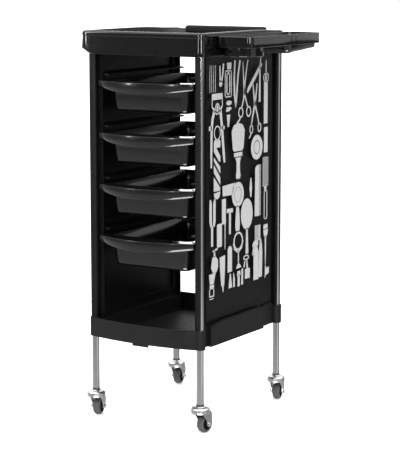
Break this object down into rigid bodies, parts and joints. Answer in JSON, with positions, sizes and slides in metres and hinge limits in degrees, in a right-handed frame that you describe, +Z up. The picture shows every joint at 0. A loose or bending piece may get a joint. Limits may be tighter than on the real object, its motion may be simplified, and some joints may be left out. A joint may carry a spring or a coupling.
{
  "type": "salon and spa trolley cart",
  "caption": "Rolling salon and spa trolley: chrome posts on swivel casters, pull-out drawers, base shelf, top tray and a side tray with a round dryer holder.",
  "frame": {"origin": "on the floor, midway between the four posts", "axes": "+Z up; -Y is the front, where the drawers pull out; +X is the side with the side tray"},
  "size_m": [0.3983, 0.3949, 0.8485],
  "materials": {
    "chrome_tube": "polished",
    "chrome_fork": "bright plated, lightly textured",
    "stem_steel": "dark zinc",
    "plated_bolt": "satin",
    "screw_steel": "blackened",
    "hub_plastic": "satin",
    "tyre_rubber": "matte",
    "base_plastic": "satin, finely textured",
    "panel_plastic": "satin",
    "handle_plastic": "soft matte",
    "tray_plastic": "high gloss",
    "drawer_plastic": "semi-gloss",
    "print_ink": "screen-printed ink"
  },
  "bodies": {
    "frame": {"base_tray": "base_plastic", "top_tray": "tray_plastic", "side_tray": "tray_plastic", "side_tray_screws": "screw_steel", "rear_handle": "handle_plastic", "rear_handle_screws": "screw_steel", "left_panel": "panel_plastic", "right_panel": "panel_plastic", "panel_screws": "screw_steel", "post_front_left": "chrome_tube", "post_front_right": "chrome_tube", "post_back_left": "chrome_tube", "post_back_right": "chrome_tube", "stem_front_left": "stem_steel", "stem_front_right": "stem_steel", "stem_back_left": "stem_steel", "stem_back_right": "stem_steel"},
    "drawer_1": {"drawer_1": "drawer_plastic"},
    "drawer_2": {"drawer_2": "drawer_plastic"},
    "drawer_3": {"drawer_3": "drawer_plastic"},
    "drawer_4": {"drawer_4": "drawer_plastic"},
    "swivel_front_left": {"fork_front_left": "chrome_fork", "axle_front_left": "plated_bolt", "nut_front_left": "plated_bolt"},
    "wheel_front_left": {"hub_front_left": "hub_plastic", "tyre_front_left": "tyre_rubber"},
    "swivel_front_right": {"fork_front_right": "chrome_fork", "axle_front_right": "plated_bolt", "nut_front_right": "plated_bolt"},
    "wheel_front_right": {"hub_front_right": "hub_plastic", "tyre_front_right": "tyre_rubber"},
    "swivel_back_left": {"fork_back_left": "chrome_fork", "axle_back_left": "plated_bolt", "nut_back_left": "plated_bolt"},
    "wheel_back_left": {"hub_back_left": "hub_plastic", "tyre_back_left": "tyre_rubber"},
    "swivel_back_right": {"fork_back_right": "chrome_fork", "axle_back_right": "plated_bolt", "nut_back_right": "plated_bolt"},
    "wheel_back_right": {"hub_back_right": "hub_plastic", "tyre_back_right": "tyre_rubber"}
  },
  "joints": [
    {"name": "drawer_1_slide", "type": "slide", "parent": "frame", "child": "drawer_1", "axis": [0, -1, 0], "range_m": [0, 0.22]},
    {"name": "drawer_2_slide", "type": "slide", "parent": "frame", "child": "drawer_2", "axis": [0, -1, 0], "range_m": [0, 0.22]},
    {"name": "drawer_3_slide", "type": "slide", "parent": "frame", "child": "drawer_3", "axis": [0, -1, 0], "range_m": [0, 0.22]},
    {"name": "drawer_4_slide", "type": "slide", "parent": "frame", "child": "drawer_4", "axis": [0, -1, 0], "range_m": [0, 0.22]},
    {"name": "swivel_front_left_turn", "type": "hinge", "parent": "frame", "child": "swivel_front_left", "pos_m": [-0.135, -0.1625, 0.05], "axis": [0, 0, 1], "continuous": true},
    {"name": "wheel_front_left_spin", "type": "hinge", "parent": "swivel_front_left", "child": "wheel_front_left", "pos_m": [-0.13839, -0.14892, 0.019], "axis": [0.9703, 0.2419, 0], "continuous": true},
    {"name": "swivel_front_right_turn", "type": "hinge", "parent": "frame", "child": "swivel_front_right", "pos_m": [0.135, -0.1625, 0.05], "axis": [0, 0, 1], "continuous": true},
    {"name": "wheel_front_right_spin", "type": "hinge", "parent": "swivel_front_right", "child": "wheel_front_right", "pos_m": [0.13743, -0.14871, 0.019], "axis": [0.9848, -0.1736, 0], "continuous": true},
    {"name": "swivel_back_left_turn", "type": "hinge", "parent": "frame", "child": "swivel_back_left", "pos_m": [-0.135, 0.1625, 0.05], "axis": [0, 0, 1], "continuous": true},
    {"name": "wheel_back_left_spin", "type": "hinge", "parent": "swivel_back_left", "child": "wheel_back_left", "pos_m": [-0.13695, 0.17636, 0.019], "axis": [0.9903, 0.1392, 0], "continuous": true},
    {"name": "swivel_back_right_turn", "type": "hinge", "parent": "frame", "child": "swivel_back_right", "pos_m": [0.135, 0.1625, 0.05], "axis": [0, 0, 1], "continuous": true},
    {"name": "wheel_back_right_spin", "type": "hinge", "parent": "swivel_back_right", "child": "wheel_back_right", "pos_m": [0.13209, 0.17619, 0.019], "axis": [0.9781, 0.2079, 0], "continuous": true}
  ]
}
